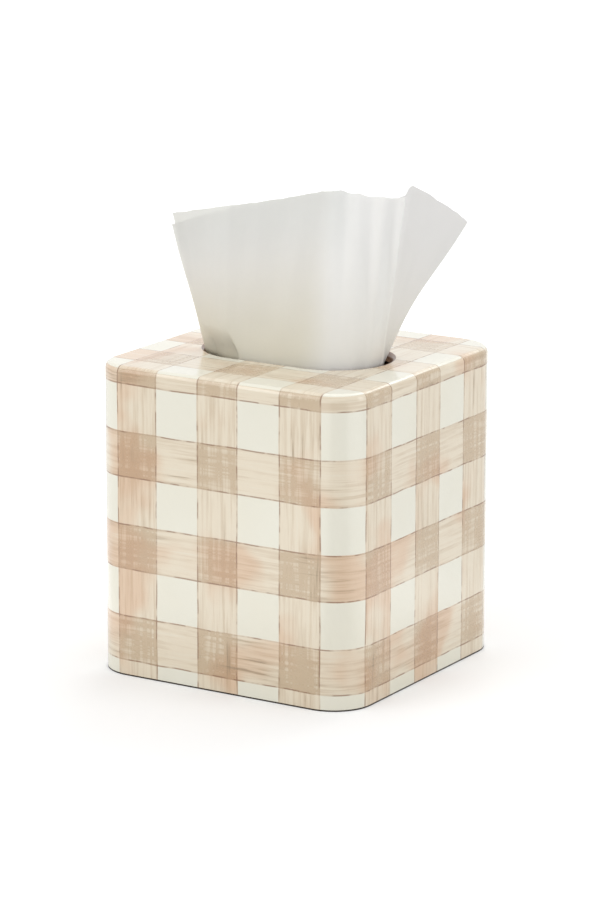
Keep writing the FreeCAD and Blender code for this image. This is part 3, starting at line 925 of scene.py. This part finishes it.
@dataclass(frozen=True)
class Tuck:
    """A dent where the sheet's left edge is pushed in at the brim, with a slanting fold beside it.

    Places across are shares of the sheet's width, heights are metres over the brim.
    """

    depth: float = 0.0030
    fold: float = 0.210
    fold_width: float = 0.016
    slant: float = 0.050
    slant_height: float = 0.013
    slant_end: float = 1.4
    top: float = 0.0112
    top_softness: float = 0.0104
    off_slit: float = 0.004
    slit_softness: float = 0.006
    edge_width: float = 0.06

    def pushed(self, share: float, over_brim: float, over_foot: float) -> float:
        """How far the sheet is pushed to the rear.

        Args:
            share: Place across the sheet.
            over_brim: Height over the brim.
            over_foot: Height over the sheet's foot in the slit.

        Returns:
            The distance.
        """
        slanted = self.slant * min(max(over_brim, 0.0) / self.slant_height, self.slant_end)
        beside = eased((self.fold - slanted - share) / self.fold_width)
        under = eased((self.top - over_brim) / self.top_softness)
        over_slit = clamped((over_foot - self.off_slit) / self.slit_softness)
        inside_edge = min(1.0, share / self.edge_width)
        return self.depth * beside * under * over_slit * inside_edge


@dataclass
class StandingTissue:
    """The half of a two-ply tissue that stands up through the slit and the opening.

    Its creases are given in plan, left to right: a flat panel in front, soft pleats, a crease that
    doubles back, and a wing that sweeps to the rear. Plans are in millimetres from the cover's middle.
    The free edge is given by shares of the width and of the rise. The two plies slip a little apart at
    the left corner, where the front one also lies lower.
    """

    paper: bpy.types.Material
    foot: float
    brim: float
    width: float = 0.200
    length: float = 0.092
    columns: int = 252
    rows: int = 84
    pinched: float = 0.074
    rise: float = 0.0765
    overrun: float = 0.002
    crease_softness: float = 0.0024
    crease_tail: int = 4
    brim_softness: float = 0.002
    brim_samples: int = 7
    under_lip: float = 0.0032
    ply_thickness: float = 0.00012
    ply_gap: float = 0.00042
    step_back: float = 0.0050
    step_width: float = 0.27
    step_falloff: float = 1.2
    slip_rear: float = 0.0005
    slip_front: float = -0.0010
    slip_width: float = 0.25
    slip_rise: float = 0.75
    gathers: int = 21
    gather_depth: float = 0.0027
    gather_falloff: float = 1.3
    gather_end: float = 0.0030
    gather_evenness: float = 0.95
    end_ripple: Ripple = Ripple(11.0, 0.0, 8.4, 0.0030)
    drift: Ripple = Ripple(6.0, 0.0, 3.1, 1.9)
    unevenness: Ripple = Ripple(15.0, 0.0, 6.6, 0.55)
    soft_waves: Ripple = Ripple(26.0, 16.0, 0.7, 0.00065)
    broad_waves: Ripple = Ripple(9.0, 22.0, 5.2, 0.0012)
    ragged: Ripple = Ripple(40.0, 4000.0, 0.0, 0.0004)
    waves_in: float = 0.03
    waves_at_lip: float = 0.3
    lip_calm: float = 0.014
    right_bow: Bow = Bow(0.0036, 0.26, 1.3, 0.022, 0.022)
    left_bow: Bow = Bow(0.0012, 0.30, 1.5, 0.040, 0.017)
    tuck: Tuck = Tuck()
    mouth_plan: tuple[Pair, ...] = (
        (-39.9, -12.6), (-25.6, -21.6), (-6.0, -23.9), (12.0, -24.0), (28.3, -22.2),
        (31.5, -18.4), (37.5, -15.4), (39.1, -10.2), (41.8, -7.6), (41.5, -1.2),
        (42.5, 1.5), (37.4, 3.9), (37.5, 6.8), (37.8, 9.3), (37.6, 11.8),
    )
    fan_plan: tuple[Pair, ...] = (
        (-62.4, -14.0), (-36.0, -6.0), (-8.0, -1.6), (12.0, -0.5), (21.8, -2.6),
        (25.2, 0.4), (32.4, -2.8), (37.4, 0.8), (46.6, -3.0), (50.6, 0.6),
        (57.0, -3.0), (46.0, 9.5), (48.0, 18.0), (57.5, 32.0), (70.0, 51.6),
    )
    free_edge: tuple[Pair, ...] = (
        (0.000, 0.770), (0.147, 0.830), (0.296, 0.896), (0.367, 0.940), (0.401, 0.963), (0.452, 0.981),
        (0.471, 0.968), (0.508, 0.973), (0.539, 0.959), (0.587, 0.972), (0.611, 0.965), (0.654, 0.975),
        (0.745, 0.947), (0.770, 0.950), (0.779, 0.994), (0.790, 1.000), (0.813, 0.974), (0.877, 0.893),
        (1.000, 0.756),
    )

    def crease_places(self) -> np.ndarray:
        """Where each crease lies across the sheet, as shares of its width."""
        steps = np.hypot(*np.diff(np.array(self.fan_plan), axis=0).T)
        return np.concatenate([[0.0], np.cumsum(steps)]) / steps.sum()

    def softened(self, values: np.ndarray) -> np.ndarray:
        """Rounds the creases of one level.

        Args:
            values: One coordinate for each column.

        Returns:
            The same, smoothed across the sheet, its ends held.
        """
        spread = self.crease_softness / (self.width / self.columns)
        reach = int(self.crease_tail * spread)
        kernel = np.exp(-0.5 * (np.arange(-reach, reach + 1) / spread) ** 2)
        before = 2 * values[0] - values[reach:0:-1]
        after = 2 * values[-1] - values[-2:-reach - 2:-1]
        return np.convolve(np.concatenate([before, values, after]), kernel / kernel.sum(), mode="valid")

    def level(self, plan: np.ndarray) -> np.ndarray:
        """Plan of the sheet at one height.

        Args:
            plan: The creases' places in millimetres.

        Returns:
            X and Y for each column.
        """
        columns = np.linspace(0, 1, self.columns + 1)
        places = self.crease_places()
        ways = [self.softened(np.interp(columns, places, way)) for way in (plan / MILLIMETRES).T]
        return np.stack(ways, axis=1)

    def levels(self) -> tuple[np.ndarray, np.ndarray, np.ndarray]:
        """Plans of the sheet in the slit, in the opening and over the top.

        Returns:
            X and Y for each column, at each of the three heights.
        """
        even = np.linspace(-0.5, 0.5, len(self.fan_plan)) * self.pinched * MILLIMETRES
        slit = np.stack([even, np.zeros_like(even)], axis=1)
        return self.level(slit), self.level(np.array(self.mouth_plan)), self.level(np.array(self.fan_plan))

    def standing(self, height: float, plans: tuple[np.ndarray, ...], column: int) -> np.ndarray:
        """Plan place of one column at one height, its bend at the brim softened.

        Args:
            height: Height over the table.
            plans: The three plans.
            column: The column.

        Returns:
            X and Y.
        """
        heights = (self.foot, self.brim - self.under_lip, self.brim + self.rise + self.overrun)
        near = height + np.linspace(-1, 1, self.brim_samples) * self.brim_softness
        ways = [np.interp(near, heights, [plan[column][axis] for plan in plans]).mean() for axis in (0, 1)]
        return np.array(ways)

    def gather(self, share: float, height: float) -> float:
        """Fine gathers that fan out of the slit and fade on the way up, soft waves, and the tuck.

        Args:
            share: Place across the sheet.
            height: Height over the table.

        Returns:
            Distance towards the rear.
        """
        ends = self.brim - self.gather_end - self.end_ripple.at(share)
        fade = clamped((ends - height) / (ends - self.foot)) ** self.gather_falloff
        turns = self.gathers * share + self.drift.at(share)
        fine = math.sin(2 * math.pi * turns) * (self.gather_evenness + self.unevenness.at(share))
        off_lip = min(1.0, abs(height - self.brim) / self.lip_calm)
        calm = self.waves_at_lip + (1 - self.waves_at_lip) * off_lip
        waves = self.soft_waves.at(share, height) + self.broad_waves.at(share, height)
        risen = clamped((height - self.foot) / self.waves_in)
        tucked = self.tuck.pushed(share, height - self.brim, height - self.foot)
        return self.gather_depth * fade * fine + waves * risen * calm + tucked

    def ply(self, name: str, behind: float, stepped: float, slipped: float) -> bpy.types.Object:
        """Makes one ply.

        Args:
            name: The piece's name.
            behind: How far it lies behind the sheet's middle.
            stepped: How far its free edge lies lower at the left corner.
            slipped: How far its left corner has slipped to the right.

        Returns:
            The piece.
        """
        plans = self.levels()
        edge = np.interp(np.linspace(0, 1, self.columns + 1), *np.array(self.free_edge).T)
        piece = flat_sheet(name, self.width, self.length, self.columns, self.rows)
        for vertex in piece.data.vertices:
            column = round((vertex.co.x / self.width + 0.5) * self.columns)
            up = vertex.co.y / self.length + 0.5
            share = column / self.columns
            lower = stepped * max(0.0, 1 - share / self.step_width) ** self.step_falloff
            free = self.brim + self.rise * edge[column] - lower + self.ragged.at(share, behind)
            height = self.foot + up * (free - self.foot)
            over_brim = height - self.brim
            x, y = self.standing(height, plans, column)
            bowed = self.right_bow.drawn(1 - share, over_brim) + self.left_bow.drawn(share, over_brim)
            corner = max(0.0, 1 - share / self.slip_width) * clamped(over_brim / (self.slip_rise * self.rise))
            vertex.co = (x - bowed + slipped * corner, y + self.gather(share, height) + behind, height)
        piece.data.update()
        self.turn_one_way(piece)
        thicken(piece, self.ply_thickness)
        dress(piece, self.paper)
        return piece

    def turn_one_way(self, piece: bpy.types.Object) -> None:
        """Turns all the sheet's faces to one side, before the sheet gets its thickness.

        Args:
            piece: The sheet.
        """
        select_only(piece)
        bpy.ops.object.mode_set(mode="EDIT")
        bpy.ops.mesh.select_all(action="SELECT")
        bpy.ops.mesh.normals_make_consistent(inside=False)
        bpy.ops.object.mode_set(mode="OBJECT")

    def build(self) -> None:
        """Makes both plies and hands them to the tissue's body."""
        back = self.ply("standing_ply_rear", self.ply_gap / 2, 0.0, self.slip_rear)
        front = self.ply("standing_ply_front", -self.ply_gap / 2, self.step_back, self.slip_front)
        for piece in (back, front):
            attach(piece, Body.TISSUE.value)
            log.info("%s stands in the opening", piece.name)
        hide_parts("popup_tissue")
        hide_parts("popup_tissue")


@dataclass(frozen=True)
class Lamp:
    """One soft box."""

    name: str
    place: Triple
    size: Pair
    power: float

    def hang(self, aim: Vector) -> None:
        """Hangs the soft box so that it points at a place.

        Args:
            aim: The place.
        """
        light = bpy.data.lights.new(self.name, "AREA")
        light.shape = "RECTANGLE"
        light.size, light.size_y = self.size
        light.energy = self.power
        holder = bpy.data.objects.new(self.name, light)
        bpy.context.scene.collection.objects.link(holder)
        holder.location = self.place
        holder.rotation_mode = "QUATERNION"
        holder.rotation_quaternion = (aim - Vector(self.place)).to_track_quat("-Z", "Y")


@dataclass
class Studio:
    """A white floor and backdrop, soft boxes, and the camera at the photograph's angle.

    In gloss the floor is bright as under a studio's soft boxes: from past the cover's shadow outwards,
    less to the left and to the rear, and not in a sector at the front right, where no box stands.
    Lengths are in metres, angles in degrees, counted from the front towards the right, and a mask
    changes between its pair of numbers.
    """

    azimuth: float = 31.61
    elevation: float = 13.86
    distance: float = 1.782
    aim_height: float = 0.0951
    roll: float = 0.13
    focal_pixels: float = 4009.0
    middle_pixel: float = 298.0
    picture: tuple[int, int] = (600, 900)
    sensor: float = 36.0
    world_light: float = 0.70
    floor_size: float = 14.0
    floor_paint: Colour = (0.82, 0.82, 0.82, 1.0)
    floor_near: Colour = (0.15, 0.15, 0.15, 1.0)
    floor_far: Colour = (0.46, 0.46, 0.46, 1.0)
    floor_lit: Colour = (0.86, 0.86, 0.86, 1.0)
    near_to_far: Pair = (0.12, 0.60)
    past_shadow: Pair = (0.10, 0.20)
    dim_side: float = 43.0
    dim_widening: float = 0.30
    off_dim_side: Pair = (-0.02, 0.10)
    to_rear: Pair = (0.03, 0.24)
    to_left: Pair = (0.10, 0.28)
    less_at_left: float = 0.8
    lamps: tuple[Lamp, ...] = (
        Lamp("key_box", (-0.95, -1.55, 1.25), (1.4, 1.4), 12.3),
        Lamp("top_box", (0.1, 0.1, 1.75), (1.5, 1.5), 6.5),
        Lamp("rear_box", (-0.2, 1.25, 1.45), (1.2, 0.9), 8.0),
        Lamp("right_strip", (1.45, 0.40, 0.45), (0.45, 1.3), 3.9),
    )

    def rays(self, graph: Graph) -> tuple[Signal, Signal]:
        """1 for the camera's own rays, and 1 for those that come by way of gloss or clear film."""
        camera, glossy, clear = (graph.node("ShaderNodeLightPath", output=f"Is {kind} Ray")
                                 for kind in ("Camera", "Glossy", "Transmission"))
        return camera, graph.maths("MINIMUM", glossy + clear, 1.0)

    def lit_share(self, graph: Graph, place: Signal, from_foot: Signal) -> Signal:
        """How bright the floor is in gloss.

        Args:
            graph: The floor's graph.
            place: The place on the floor.
            from_foot: Its distance from the middle of the cover's foot.

        Returns:
            The share, from 0 to 1.
        """
        x, y, _ = graph.split(place)
        turn = math.radians(self.dim_side)
        ahead = x * math.sin(turn) - y * math.cos(turn)
        aside = x * math.cos(turn) + y * math.sin(turn)
        off_dim_side = graph.ramp(abs(aside) - ahead * self.dim_widening, *self.off_dim_side)
        not_behind = 1 - graph.ramp(y, *self.to_rear)
        not_left = 1 - self.less_at_left * graph.ramp(0.0 - x, *self.to_left)
        return off_dim_side * not_behind * not_left * graph.ramp(from_foot, *self.past_shadow)

    def floor(self) -> None:
        """Lays the white floor, which keeps the object's shadow."""
        bpy.ops.object.select_all(action="DESELECT")
        bpy.ops.mesh.primitive_plane_add(size=self.floor_size)
        piece = bpy.context.object
        piece.name = "studio_floor"
        graph = Graph(bpy.data.materials.new("floor_white"))
        camera, by_gloss = self.rays(graph)
        place = graph.place()
        from_foot = graph.node("ShaderNodeVectorMath", {"operation": "LENGTH"}, {0: place}, output="Value")
        glow = graph.tint(graph.ramp(from_foot, *self.near_to_far), self.floor_near, self.floor_far)
        lit = graph.tint(self.lit_share(graph, place, from_foot), BLACK, self.floor_lit)
        dress(piece, graph.finish(graph.surface({
            "Base Color": self.floor_paint,
            "Roughness": 1.0,
            "Specular IOR Level": 0.0,
            "Emission Color": graph.tint(camera, graph.tint(by_gloss, BLACK, lit), glow),
            "Emission Strength": 1.0,
        })))
        log.info("studio floor laid")

    def sky(self) -> None:
        """Lights the room evenly, white where it is seen."""
        graph = Graph(bpy.data.worlds.new("studio"))
        camera, by_gloss = self.rays(graph)
        seen = graph.maths("MINIMUM", camera + by_gloss, 1.0)
        strength = self.world_light + (1 - self.world_light) * seen
        shader = graph.node("ShaderNodeBackground", sockets={"Color": WHITE, "Strength": strength})
        bpy.context.scene.world = graph.finish(shader)

    def camera(self) -> None:
        """Sets the camera where the photograph was taken from."""
        turn, tilt = math.radians(self.azimuth), math.radians(self.elevation)
        back = Vector((math.sin(turn) * math.cos(tilt), -math.cos(turn) * math.cos(tilt), math.sin(tilt)))
        data = bpy.data.cameras.new("photograph")
        long_side = max(self.picture)
        data.sensor_width = self.sensor
        data.lens = self.focal_pixels * self.sensor / long_side
        data.shift_x = (self.picture[0] / 2 - self.middle_pixel) / long_side
        holder = bpy.data.objects.new("photograph", data)
        bpy.context.scene.collection.objects.link(holder)
        facing = back.to_track_quat("Z", "Y").to_matrix().to_4x4()
        lean = Matrix.Rotation(math.radians(self.roll), 4, "Z")
        place = Vector((0, 0, self.aim_height)) + back * self.distance
        holder.matrix_world = Matrix.Translation(place) @ facing @ lean
        bpy.context.scene.camera = holder

    def build(self) -> None:
        """Sets up the floor, the light and the camera."""
        self.floor()
        self.sky()
        for lamp in self.lamps:
            lamp.hang(Vector((0, 0, self.aim_height)))
        self.camera()
        bpy.context.scene.view_settings.view_transform = "Standard"
        log.info("studio set up")


def main() -> None:
    """Builds the object and the studio."""
    logging.basicConfig(level=logging.INFO, format="%(message)s")
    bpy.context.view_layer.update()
    foot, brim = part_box("popup_tissue")[0].z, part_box("cover_shell")[1].z
    paper = TissuePaper().material()
    Cover(GinghamEnamel(top=brim), DarkRimMetal()).build()
    Carton(CartonBoard(), ClearFilm()).build()
    TissueClip(paper).build()
    StandingTissue(paper, foot=foot, brim=brim).build()
    Studio().build()
    log.info("sizes written")


if __name__ == "__main__":
    main()
